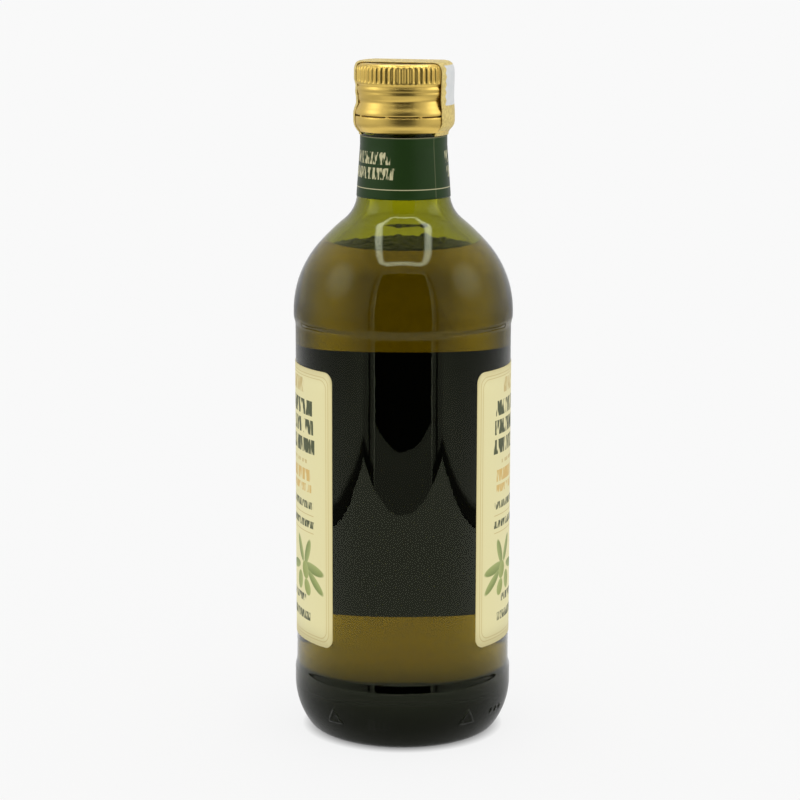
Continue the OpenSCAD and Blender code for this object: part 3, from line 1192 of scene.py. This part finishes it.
@dataclass
class Froth:
    """Bubbles that cover the oil: a thin closed skin over its level, raised in domes."""

    form: BottleForm
    finish: FrothSkin
    domes_count: int = 560
    seed: int = 7
    cell: float = 2.0
    skin: float = 0.04
    gap: float = 0.10
    rows: int = 80
    columns: int = 540
    domes: dict[tuple[int, int], list[tuple[float, float, float, float]]] = field(default_factory=dict)

    def build(self) -> bpy.types.Object:
        """Makes the piece; the hollows between the domes carry the attribute "rim", where the skin has
        painted shade.
        """
        radius = self.form.inner().radius_at(self.form.oil_z + 0.9) - 0.12
        rng = random.Random(self.seed)
        for _ in range(self.domes_count):
            reach = (radius - 0.5) * rng.random() ** 0.42
            angle = rng.uniform(0, 2 * math.pi)
            size = 0.6 + 1.1 * rng.random() ** 1.8
            self._add(reach * math.cos(angle), reach * math.sin(angle), size, rng.uniform(0.45, 0.85))
        self._add(7.5, 17.5, 2.1, 1.0)
        builder = Builder()
        sheets = []
        for lift in (self.gap + self.skin, self.gap):
            rings = [self._ring(builder, radius * (1 - i / self.rows), lift) for i in range(self.rows)]
            sheets.append((rings, builder.vertex(0, 0, self.form.oil_z + lift, 1.0)))
        (top, top_middle), (under, under_middle) = sheets
        builder.enclose(under_middle, under[::-1] + top, top_middle)
        return register(builder.build("froth", [self.finish.build()], "rim"), "oil")

    def _ring(self, builder: Builder, radius: float, lift: float) -> list[int]:
        """Adds a ring of the skin that follows the domes."""
        ring = []
        calm = soft_step(radius, 1.0, 1.0)
        for i in range(self.columns):
            angle = 2 * math.pi * i / self.columns
            x, y = radius * math.cos(angle), radius * math.sin(angle)
            height, rim = self._dome(x, y)
            ring.append(builder.vertex(x, y, self.form.oil_z + lift + height * calm, rim))
        return ring

    def _add(self, x: float, y: float, size: float, rise: float) -> None:
        """Notes a dome in each cell that it can touch."""
        for i in range(int((x - size) // self.cell), int((x + size) // self.cell) + 1):
            for j in range(int((y - size) // self.cell), int((y + size) // self.cell) + 1):
                self.domes.setdefault((i, j), []).append((x, y, size, rise))

    def _dome(self, x: float, y: float) -> tuple[float, float]:
        """Height of the highest dome over a place, and 1 near its foot or off it."""
        found, rim = 0.0, 1.0
        for dome_x, dome_y, size, rise in self.domes.get((int(x // self.cell), int(y // self.cell)), ()):
            gap = math.hypot(x - dome_x, y - dome_y) / size
            if gap < 1 and size * rise * math.sqrt(1 - gap * gap) > found:
                found, rim = size * rise * math.sqrt(1 - gap * gap), soft_step(gap, 0.72, 0.3)
        return found, rim


@dataclass
class OilFill:
    """The oil, as one closed mesh that reaches just into the wall, with a raised rim where it wets it."""

    form: BottleForm
    finish: ClearBody
    reach: float = 0.06
    climb: float = 0.35
    climb_w: float = 0.6
    count: int = 180

    # distances from the wall at which the surface has a ring
    GAPS = (0.02, 0.15, 0.3, 0.5, 0.8, 1.15, 1.6, 2.2, 3.0, 4.2, 6.0, 10.0, 16.0, 21.0)

    @property
    def wet_z(self) -> float:
        """Height at which the surface meets the wall."""
        return self.form.oil_z + self.climb

    def build(self) -> bpy.types.Object:
        """Makes the piece; what touches the glass is marked wet."""
        builder = Builder()
        wall = [p for p in self.form.inner(self.reach).points[::-1] if p[1] < self.wet_z - 0.05]
        edge_r = self.form.inner(self.reach).radius_at(self.wet_z)
        start = builder.vertex(0, 0, wall[0][1], 1.0)
        rings = [builder.ring(radius, z, self.count, 1.0) for radius, z in wall[1:] + [(edge_r, self.wet_z)]]
        for gap in self.GAPS:
            z = self.form.oil_z + self.climb * math.exp(-gap / self.climb_w)
            rings.append(builder.ring(edge_r - gap, z, self.count))
        builder.enclose(start, rings, builder.vertex(0, 0, self.form.oil_z, 0.0))
        return register(builder.build("oil_fill", [self.finish.build()], "wet"), "oil", "oil")


# ---------------------------------------------------------------------------------------------
# Cap, labels and strip
# ---------------------------------------------------------------------------------------------


@dataclass
class RolledCap:
    """The rolled cap: knurled rim, ring, rolled thread, bead and tear-off band."""

    form: BottleForm
    finish: GoldLacquer
    lining: DarkLining
    top_z: float = 223.05
    knurls: int = 56
    knurl_depth: float = 0.34
    knurl_low: float = 217.0
    knurl_high: float = 221.9
    slit_z: float = 205.96
    slit_h: float = 0.35
    slit_depth: float = 1.0
    bridges: int = 9
    bridge_w: float = 1.0
    bridge_turn: float = -20.0
    thread_z: float = 210.1
    thread_pitch: float = 2.6
    thread_depth: float = 0.42
    thread_w: float = 0.42
    thread_turns: float = 1.25
    thread_start: float = -120.0
    count: int = 672

    OUTSIDE = (
        (14.40, 201.15), (14.42, 200.92), (14.62, 200.78), (14.88, 200.90), (15.12, 201.30), (15.45, 201.80),
        (15.78, 202.30), (16.02, 202.85), (16.15, 203.45), (16.20, 204.10), (16.20, 205.30), (16.18, 205.80),
        (16.10, 205.95), (16.09, 205.97), (16.09, 206.13), (16.09, 206.29), (16.10, 206.31), (16.19, 206.48),
        (16.20, 206.90), (16.14, 207.40), (15.98, 207.95), (15.74, 208.50), (15.50, 209.05), (15.33, 209.60),
        (15.24, 210.20), (15.24, 210.80), (15.27, 211.40), (15.33, 212.00), (15.44, 212.50), (15.58, 212.95),
        (15.64, 213.30), (15.58, 213.65), (15.55, 213.90), (15.60, 214.20), (15.68, 214.50), (15.70, 214.85),
        (15.62, 215.25), (15.45, 215.55), (15.40, 215.78), (15.48, 216.00), (15.70, 216.25), (15.86, 216.55),
        (15.93, 216.90), (15.95, 217.30), (15.96, 218.00), (15.96, 219.40), (15.96, 220.60), (15.93, 221.10),
        (15.82, 221.60), (15.60, 222.10), (15.25, 222.55), (14.80, 222.85), (14.20, 223.01), (13.40, 223.04),
        (12.60, 223.02), (12.00, 222.92), (11.40, 222.88), (8.00, 222.88), (3.00, 222.88),
    )
    INSIDE = (
        (3.0, 221.5), (14.35, 221.5), (14.35, 207.4), (15.25, 206.4), (15.25, 202.9), (14.45, 201.6),
    )

    def build(self) -> bpy.types.Object:
        """Makes the piece as one closed mesh."""
        builder = Builder()
        rings = [builder.ring(radius, z, self.count, 0.0, self._shape) for radius, z in self.OUTSIDE]
        for first, second in zip(rings, rings[1:]):
            builder.join(first, second)
        middle = self.OUTSIDE[-1][1]
        builder.fan_end(rings[-1], builder.vertex(0, 0, middle))
        wall = [builder.ring(radius, z, self.count) for radius, z in self.INSIDE]
        builder.fan(wall[0], builder.vertex(0, 0, self.INSIDE[0][1]), 1)
        for first, second in zip(wall, wall[1:]):
            builder.join(first, second, 1)
        builder.join(wall[-1], rings[0], 1)
        finishes = [self.finish.build(), self.lining.build()]
        return register(builder.build("rolled_cap", finishes), "gold_metal", "cap")

    def _shape(self, radius: float, angle: float, z: float) -> float:
        """The cap's true radius at a place.

        Args:
            radius: radius of the plain outline.
            angle: direction to the right of the front, in degrees.
            z: height.

        Returns:
            The radius, less the grooves that are rolled into it.
        """
        if radius < 14.0:
            return radius
        radius -= self._knurl(angle, z)
        radius -= self._thread(angle, z)
        if self.slit_z <= z <= self.slit_z + self.slit_h:
            pitch = 360 / self.bridges
            off = abs((angle - self.bridge_turn + pitch / 2) % pitch - pitch / 2) * math.pi / 180 * radius
            radius -= self.slit_depth * soft_step(off, self.bridge_w / 2, 0.25)
        return radius

    def _knurl(self, angle: float, z: float) -> float:
        """Depth of the rim's grooves at a place."""
        window = soft_step(z, self.knurl_low, 0.5) * (1 - soft_step(z, self.knurl_high, 0.5))
        wave = 0.5 + 0.5 * math.cos(math.radians(angle * self.knurls))
        return self.knurl_depth * window * wave ** 1.3

    def _thread(self, angle: float, z: float) -> float:
        """Depth of the rolled thread at a place: a groove that climbs to the right and fades at its ends."""
        deepest = 0.0
        for lap in range(-1, 3):
            turns = (angle - self.thread_start) / 360 + lap
            if 0 < turns < self.thread_turns:
                middle = self.thread_z + turns * self.thread_pitch
                fade = min(1.0, 5 * turns, 5 * (self.thread_turns - turns))
                groove = math.exp(-(((z - middle) / self.thread_w) ** 2))
                deepest = max(deepest, self.thread_depth * fade * groove)
        return deepest


@dataclass
class PaperWrap:
    """A sheet of paper with thickness that follows the glass round part of a turn."""

    name: str
    slot: str
    node: str
    thickness: float = PAPER_T
    sink: float = 0.02

    def solid(
        self, rows: list[list[tuple[float, float, float]]], materials: Sequence[bpy.types.Material],
        closed: bool
    ) -> bpy.types.Object:
        """Makes a sheet from rows of places.

        Args:
            rows: for each column round the axis, its places from low to high, as the glass's radius,
                the direction to the right of the front and the height.
            materials: the outside's material and the back's.
            closed: whether the last column joins the first.

        Returns:
            The registered piece.
        """
        builder = Builder()
        outer, inner = (
            [[builder.vertex(*self._spot(*place, lift)) for place in column] for column in rows]
            for lift in (self.thickness, -self.sink)
        )
        builder.sheet(outer, inner, closed, under=1, smooth_rim=False)
        return register(builder.build(self.name, materials), self.slot, self.node)

    def _spot(self, radius: float, angle: float, z: float, lift: float) -> tuple[float, float, float]:
        """The point over a place, lifted off the glass."""
        dx, dy = direction(angle)
        return (radius + lift) * dx, (radius + lift) * dy, z


@dataclass
class NeckLabel:
    """The label round the neck."""

    form: BottleForm
    finish: NeckLabelPrint
    back: PlainPaper
    count: int = 180

    def build(self) -> bpy.types.Object:
        """Makes the piece."""
        outline = self.form.outer()
        steps = 28
        low, high = self.finish.low, self.finish.high
        levels = [low + (high - low) * k / steps for k in range(steps + 1)]
        levels += [self.form.neck_z, self.form.taper_top_z]
        column = [(outline.radius_at(z), z) for z in sorted(levels)]
        rows = [[(r, 360 * i / self.count, z) for r, z in column] for i in range(self.count)]
        wrap = PaperWrap("neck_wrap", "green_paper", "neck_label")
        return wrap.solid(rows, [self.finish.build(), self.back.build()], True)


@dataclass
class BodyLabel:
    """The label round the body, open at the front, with rounded corners."""

    form: BottleForm
    finish: BodyLabelPrint
    back: PlainPaper
    corner_r: float = 3.5
    count: int = 240

    def build(self) -> bpy.types.Object:
        """Makes the piece: columns stand closer together in the corners."""
        radius = self.form.panel_r
        length = (360 - self.finish.gap) * math.pi / 180 * radius
        corner = [self.corner_r * (1 - math.cos(math.pi / 2 * i / 12)) for i in range(12)]
        straight = length - 2 * self.corner_r
        plain = [self.corner_r + straight * i / self.count for i in range(self.count + 1)]
        across = corner + plain + [length - c for c in corner[::-1]]
        first = self.finish.turn + self.finish.gap / 2
        rows = []
        for distance in across:
            gap = min(distance, length - distance)
            trim = 0.0
            if gap < self.corner_r:
                trim = self.corner_r - math.sqrt(self.corner_r ** 2 - (self.corner_r - gap) ** 2)
            low, high = self.finish.low + trim, self.finish.high - trim
            angle = first + distance / radius * 180 / math.pi
            rows.append([(radius, angle, low + (high - low) * k / 12) for k in range(13)])
        wrap = PaperWrap("body_wrap", "cream_paper", "body_label")
        return wrap.solid(rows, [self.finish.build(), self.back.build()], False)


@dataclass
class SealStrip:
    """The paper strip folded over the cap, down to the neck on both sides."""

    finish: StripPrint
    width: float = 15.7
    thickness: float = 0.2
    top_z: float = 223.24
    close_gap: float = 0.06
    columns: int = 26
    seed: int = 3

    LEG = (
        (14.40, 199.80), (14.42, 200.40), (14.60, 201.00), (15.10, 201.60), (15.75, 202.30), (16.25, 203.10),
        (16.42, 204.00), (16.45, 205.40), (16.43, 206.80), (16.36, 208.20), (16.25, 209.80), (16.18, 211.60),
        (16.18, 213.60), (16.22, 215.60), (16.30, 217.60), (16.32, 219.40), (16.24, 220.80), (16.00, 221.80),
        (15.50, 222.60), (14.80, 223.08), (14.00, 223.24),
    )

    def build(self) -> bpy.types.Object:
        """Makes the piece as one closed sheet with thickness."""
        rng = random.Random(self.seed)
        wave = [rng.uniform(-1, 1) for _ in range(8)]
        along, across = direction(self.finish.turn), direction(self.finish.turn - 90)
        path = self._path()
        builder = Builder()
        sheets = []
        for lift in (self.thickness, 0.0):
            sheet = []
            for k in range(self.columns + 1):
                share = 2 * k / self.columns - 1
                column = []
                for i, (reach, z, side, tilt) in enumerate(path):
                    w = share * self._half(i / (len(path) - 1), wave, share > 0)
                    column.append(self._spot(builder, along, across, reach, z, side, tilt, w, lift))
                sheet.append(column)
            sheets.append(sheet)
        builder.sheet(*sheets, closed=False)
        strip = builder.build("seal_strip_paper", [self.finish.build()])
        return register(strip, "strip_paper", "seal_strip")

    def _path(self) -> list[tuple[float, float, float, float]]:
        """Rows from one foot over the top to the other: reach, height, side and tilt of the sheet."""
        leg = []
        for i, (reach, z) in enumerate(self.LEG):
            before, after = self.LEG[max(i - 1, 0)], self.LEG[min(i + 1, len(self.LEG) - 1)]
            tilt = math.atan2(-(after[0] - before[0]), after[1] - before[1])
            leg.append((reach, z, 1.0, tilt))
        leg[-1] = (*leg[-1][:3], math.pi / 2)
        flat = 14
        top = [(self.LEG[-1][0], self.top_z, 1 - 2 * i / flat, math.pi / 2) for i in range(1, flat)]
        return leg + top + [(self._close_reach(reach, z), z, -1.0, tilt) for reach, z, _, tilt in leg[::-1]]

    def _close_reach(self, reach: float, z: float) -> float:
        """Radius of the left leg, which is pressed closely onto the cap's own outline."""
        for (r0, z0), (r1, z1) in zip(RolledCap.OUTSIDE[2:-8], RolledCap.OUTSIDE[3:-8]):
            if z0 <= z <= z1:
                return r0 + (r1 - r0) * (z - z0) / (z1 - z0) + self.close_gap
        return reach

    def _half(self, share: float, wave: list[float], front: bool) -> float:
        """Half the strip's width at a place, with a slightly torn front edge and one small tab.

        Args:
            share: place along the strip, from 0 at the right foot to 1 at the left foot.
            wave: random strengths of the edge's waves.
            front: whether the edge faces the front.

        Returns:
            The distance from the strip's middle to its edge.
        """
        half = self.width / 2
        if not front:
            return half - 0.1
        ripple = sum(a * math.sin((7 + 5 * i) * math.pi * share + 2 * i) for i, a in enumerate(wave)) * 0.05
        tab = 0.9 * max(0.0, 1 - abs(share - 0.585) / 0.03)
        return half - 0.15 + ripple + tab

    def _spot(
        self, builder: Builder, along: Point, across: Point, reach: float, z: float, side: float,
        tilt: float, w: float, lift: float
    ) -> int:
        """Adds a vertex of the strip.

        Args:
            builder: mesh to add to.
            along: unit step along the strip.
            across: unit step towards the strip's front edge.
            reach: radius of the form that the strip lies on.
            z: height.
            side: 1 on the right leg, -1 on the left one and between them on the top.
            tilt: angle of the sheet's outward direction above the level.
            w: distance from the strip's middle line.
            lift: distance out from the sheet's inner face.

        Returns:
            The vertex's index.
        """
        radius = reach + lift * math.cos(tilt)
        run = side * math.sqrt(max(0.0, radius * radius - w * w))
        x = along[0] * run + across[0] * w
        y = along[1] * run + across[1] * w
        return builder.vertex(x, y, z + lift * math.sin(tilt))


# ---------------------------------------------------------------------------------------------
# Studio
# ---------------------------------------------------------------------------------------------


class Seen(Enum):
    """Which rays see a part of the studio."""

    BY_REFLECTIONS = "reflections"
    BY_ALL_ELSE = "all else"


@dataclass
class Studio:
    """A light tent with an opening at the front, a pale floor and even light all round.

    Attributes:
        backdrop: brightness of what is seen behind the bottle.
        fill: brightness of the even light that falls on it.
        half_w: half the tent's width, in metres like the other lengths here.
        front_y: place of the tent's front.
        back_y: place of its back.
        height: height of its ceiling.
        open_half: half the width of the opening in its front.
        open_h: height of the opening.
        table_y: place where the table ends in front of the tent.
        table_glow: brightness of the table outside the tent.
        room_half: distance to the dark room's wall.
        room_glow: brightness of the room.
        floor_half: half the width of the floor.
        floor_gap: how far the reflected floor lies under the real one.
        floor_matt: share of the floor's brightness that is lit and not its own glow.
        floor_peak: brightest glow of the floor.
        panel_peak: brightest glow of a panel.
        seam_h: height of the dark seam at the foot of the tent.
        seam_x: distance of the front's upright seams from its middle.
        lamp_y: place from front to back of the soft lamp patch on each side.
        lamp_z: height of that patch.
        lamp_r: radius of that patch.
        lamp_glow: brightness of that patch.
        frame_w: half the width of the straight part of the ceiling's frame of lamps.
        frame_l: half the length of its straight part.
        frame_y: place of its middle from front to back.
        frame_r: radius of its corners.
        frame_glow: brightness of the frame.
    """

    backdrop: float = 0.947
    fill: float = 1.06
    half_w: float = 0.323
    front_y: float = -0.368
    back_y: float = 0.33
    height: float = 0.65
    open_half: float = 0.200
    open_h: float = 0.58
    table_y: float = -0.504
    table_glow: float = 0.45
    room_half: float = 3.0
    room_glow: float = 0.02
    floor_half: float = 6.0
    floor_gap: float = 0.0004
    floor_matt: float = 0.12
    floor_peak: float = 4.0
    panel_peak: float = 9.0
    seam_h: float = 0.010
    seam_x: float = 0.252
    lamp_y: float = -0.07
    lamp_z: float = 0.34
    lamp_r: float = 0.10
    lamp_glow: float = 1.6
    frame_w: float = 0.13
    frame_l: float = 0.16
    frame_y: float = -0.05
    frame_r: float = 0.06
    frame_glow: float = 8.0

    def build(self) -> None:
        """Makes the world, the floor and the tent."""
        self._world()
        self._floor()
        self._tent()

    def _world(self) -> None:
        """Even light: matt surfaces get the fill, and the camera and clear bodies see the backdrop."""
        world = bpy.data.worlds.new("studio")
        bpy.context.scene.world = world
        world.use_nodes = True
        graph = Graph(world.node_tree)
        path = graph.node("ShaderNodeLightPath").outputs
        lit = Value(graph, path["Is Diffuse Ray"])
        strength = lit * (self.fill - self.backdrop) + self.backdrop
        glow = graph.node("ShaderNodeBackground", values={"Color": (1, 1, 1, 1), "Strength": strength})
        graph.node("ShaderNodeOutputWorld", values={"Surface": glow.outputs[0]})
        world.cycles_visibility.glossy = False

    def _panel(
        self, name: str, corners: Sequence[Sequence[float]], material: bpy.types.Material, seen: Seen
    ) -> bpy.types.Object:
        """Adds a flat part of the studio.

        Args:
            name: its name.
            corners: its corners, in metres.
            material: its material.
            seen: which rays see it.

        Returns:
            The object.
        """
        mesh = bpy.data.meshes.new(name)
        mesh.from_pydata([tuple(c) for c in corners], [], [tuple(range(len(corners)))])
        mesh.materials.append(material)
        panel = bpy.data.objects.new(name, mesh)
        bpy.context.scene.collection.objects.link(panel)
        reflected = seen is Seen.BY_REFLECTIONS
        panel.visible_glossy = reflected
        panel.visible_camera = not reflected
        panel.visible_diffuse = not reflected
        panel.visible_transmission = not reflected
        panel.visible_shadow = not reflected
        return panel

    def _floor(self) -> None:
        """A wide pale floor, its glow keeping shadow faint; painted shadow under the bottle, painted light
        round it.
        """
        material, graph = new_material("stage_floor")
        tone = (self.backdrop * self.floor_matt / self.fill,) * 3
        x, y, _ = graph.place()
        reach = graph.math("SQRT", x * x + y * y)
        through = Value(graph, graph.node("ShaderNodeLightPath").outputs["Is Transmission Ray"])
        # painted light seen only through the glass: a brighter pool round the bottle, brighter again towards
        # its sides
        side = (abs(x) / (reach + 1)).near(0.47, 0.17, 0.2)
        painted_light_pool = ((1 - reach.above(400, 300)) * 1.2 + side * 1.1) * through
        # painted contact shadow: no glow in a disc under the bottle, a wider disc for rays through the glass
        foot = reach.above(30, 8) * (1 - through * (1 - reach.above(44, 16)))
        glow = (painted_light_pool + 1) * foot * (self.backdrop * (1 - self.floor_matt))
        values = {"Base_Color": tone, "Roughness": 1.0, "Specular_IOR_Level": 0.0,
                  "Emission_Color": graph.grey(glow, self.floor_peak), "Emission_Strength": self.floor_peak}
        graph.output(graph.principled(**values))
        size = self.floor_half
        corners = [(-size, -size, 0), (size, -size, 0), (size, size, 0), (-size, size, 0)]
        self._panel("floor", corners, material, Seen.BY_ALL_ELSE)

    def _glow(self, name: str, paint: Paint | float) -> bpy.types.Material:
        """A glowing material, even if paint is a number and else painted from the place in metres."""
        material, graph = new_material(name)
        if callable(paint):
            x, y, z = (part * MM for part in graph.place())
            glow = graph.grey(paint(graph, x, y, z), self.panel_peak)
            values = {"Color": glow, "Strength": self.panel_peak}
        else:
            values = {"Color": (1, 1, 1, 1), "Strength": paint}
        graph.output(graph.node("ShaderNodeEmission", values=values).outputs[0])
        return material

    def _tent(self) -> None:
        """The parts of the tent that reflections show."""
        w, f, b, h = self.half_w, self.front_y, self.back_y, self.height
        o, oh = self.open_half, self.open_h

        def wall(graph: Graph, x: Value, y: Value, z: Value) -> Value:
            """A dark seam at the floor, a duller band above it, and a lamp's soft patch."""
            deep, up = y - self.lamp_y, z - self.lamp_z
            lamp = graph.math("SQRT", deep * deep + up * up)
            body = z.above(self.seam_h, 0.004) * (0.62 - z.near(0.085, 0.03, 0.05) * 0.25)
            return body + 0.10 + (1 - lamp.above(self.lamp_r, 0.09)) * self.lamp_glow

        def front(graph: Graph, x: Value, y: Value, z: Value) -> Value:
            """The front panel, with a bright edge round the opening and a dark seam at the corner."""
            side = abs(x)
            rim = side.near(o, 0.012, 0.004) + z.near(oh, 0.010, 0.006) * side.near(0.0, o, 0.01)
            seam = side.near(self.seam_x, 0.010, 0.005)
            body = z.above(self.seam_h, 0.004) * (0.45 + z.above(0.2, 0.1) * 0.2) * (1 - seam)
            return body + 0.05 + rim.clamp() * 0.7

        def ceiling(graph: Graph, x: Value, y: Value, z: Value) -> Value:
            """The ceiling with a bright frame of lamps."""
            side = graph.math("MAXIMUM", abs(x) - self.frame_w, 0.0)
            deep = graph.math("MAXIMUM", abs(y - self.frame_y) - self.frame_l, 0.0)
            reach = graph.math("SQRT", side * side + deep * deep)
            return 0.55 + reach.near(self.frame_r, 0.026, 0.020) * self.frame_glow

        def ground_with_painted_shadow(graph: Graph, x: Value, y: Value, z: Value) -> Value:
            """The floor, with the bottle's painted shadow: darker close round the bottle."""
            return 0.42 + graph.math("SQRT", x * x + y * y).above(0.085, 0.09) * 0.58

        wall_glow = self._glow("tent_wall", wall)
        front_glow = self._glow("tent_front", front)
        ceiling_glow = self._glow("tent_ceiling", ceiling)
        floor_glow = self._glow("tent_floor", ground_with_painted_shadow)
        table_glow = self._glow("table_outside", self.table_glow)
        dark_glow = self._glow("room_outside", self.room_glow)
        low = -self.floor_gap
        t, far = self.table_y, self.room_half
        parts = [
            ("tent_floor", [(-w, f, low), (w, f, low), (w, b, low), (-w, b, low)], floor_glow),
            ("tent_left", [(-w, f, 0), (-w, b, 0), (-w, b, h), (-w, f, h)], wall_glow),
            ("tent_right", [(w, f, 0), (w, b, 0), (w, b, h), (w, f, h)], wall_glow),
            ("tent_back", [(-w, b, 0), (w, b, 0), (w, b, h), (-w, b, h)], wall_glow),
            ("tent_ceiling", [(-w, f, h), (w, f, h), (w, b, h), (-w, b, h)], ceiling_glow),
            ("front_left", [(-w, f, 0), (-o, f, 0), (-o, f, h), (-w, f, h)], front_glow),
            ("front_right", [(o, f, 0), (w, f, 0), (w, f, h), (o, f, h)], front_glow),
            ("front_top", [(-o, f, oh), (o, f, oh), (o, f, h), (-o, f, h)], front_glow),
            ("table_outside", [(-1, t, low), (1, t, low), (1, f, low), (-1, f, low)], table_glow),
            ("room_floor", [(-far, -far, low), (far, -far, low), (far, t, low), (-far, t, low)], dark_glow),
            ("room_wall", [(-far, -far, low), (far, -far, low), (far, -far, far), (-far, -far, far)],
             dark_glow),
        ]
        for name, corners, material in parts:
            self._panel(name, corners, material, Seen.BY_REFLECTIONS)


@dataclass
class Viewpoint:
    """The camera: where it looks, from how far and how high."""

    target: tuple[float, float, float] = (-0.00103, 0.0, 0.1113)
    elevation: float = 11.08
    distance: float = 0.8642
    lens: float = 117.0
    sensor: float = 36.0
    roll: float = 0.12

    def build(self) -> None:
        """Makes the camera and sets it as the scene's."""
        data = bpy.data.cameras.new("viewpoint")
        data.lens, data.sensor_width = self.lens, self.sensor
        data.clip_start, data.clip_end = 0.01, 50.0
        camera = bpy.data.objects.new("viewpoint", data)
        angle = math.radians(self.elevation)
        back = Vector((0, -math.cos(angle), math.sin(angle)))
        camera.location = Vector(self.target) + back * self.distance
        look = (-back).to_track_quat("-Z", "Y").to_matrix()
        turned = look @ Matrix.Rotation(math.radians(self.roll), 3, "Z")
        camera.rotation_euler = turned.to_euler()
        bpy.context.scene.collection.objects.link(camera)
        bpy.context.scene.camera = camera


def main() -> None:
    """Builds the pieces in order, then the studio and the camera."""
    logging.basicConfig(level=logging.INFO, format="%(message)s")
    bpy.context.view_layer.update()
    form = BottleForm()
    green = Absorption(red=0.205, green=0.205, blue=0.80)
    sheen = (0.48, 0.53, 0.36)
    glass = ClearBody("green_glass", 1.52, wet_ior=1.034, sheen=sheen, absorption=green, ripple=0.03)
    golden = Absorption(red=0.0265, green=0.0335, blue=0.14)
    oil = ClearBody("golden_oil", 1.47, wet_ior=1.0, sheen=(0.6, 0.6, 0.4), absorption=golden)
    fill = OilFill(form, oil)
    GlassBottle(form, HeelMarks(), glass, fill.wet_z).build()
    fill.build()
    Froth(form, FrothSkin()).build()
    RolledCap(form, GoldLacquer(), DarkLining()).build()
    # the body label's back takes the near-black painted shade tone
    back = PlainPaper("label_back", Tint.LABEL_BACK_SHADE.value)
    pale = PlainPaper("neck_label_back", Tint.NECK_BACK.value)
    NeckLabel(form, NeckLabelPrint("neck_print", low=179.65, high=199.55), pale).build()
    label_r = form.panel_r + PAPER_T
    print_ = BodyLabelPrint("label_print", label_r, turn=1.0, gap=82.0, low=33.2, high=125.2)
    BodyLabel(form, print_, back).build()
    SealStrip(StripPrint("strip_print", turn=76.0)).build()
    Studio().build()
    Viewpoint().build()
    scene = bpy.context.scene
    scene.view_settings.view_transform = "Standard"
    scene.cycles.max_bounces = 24
    scene.cycles.transmission_bounces = 20


if __name__ == "__main__":
    main()
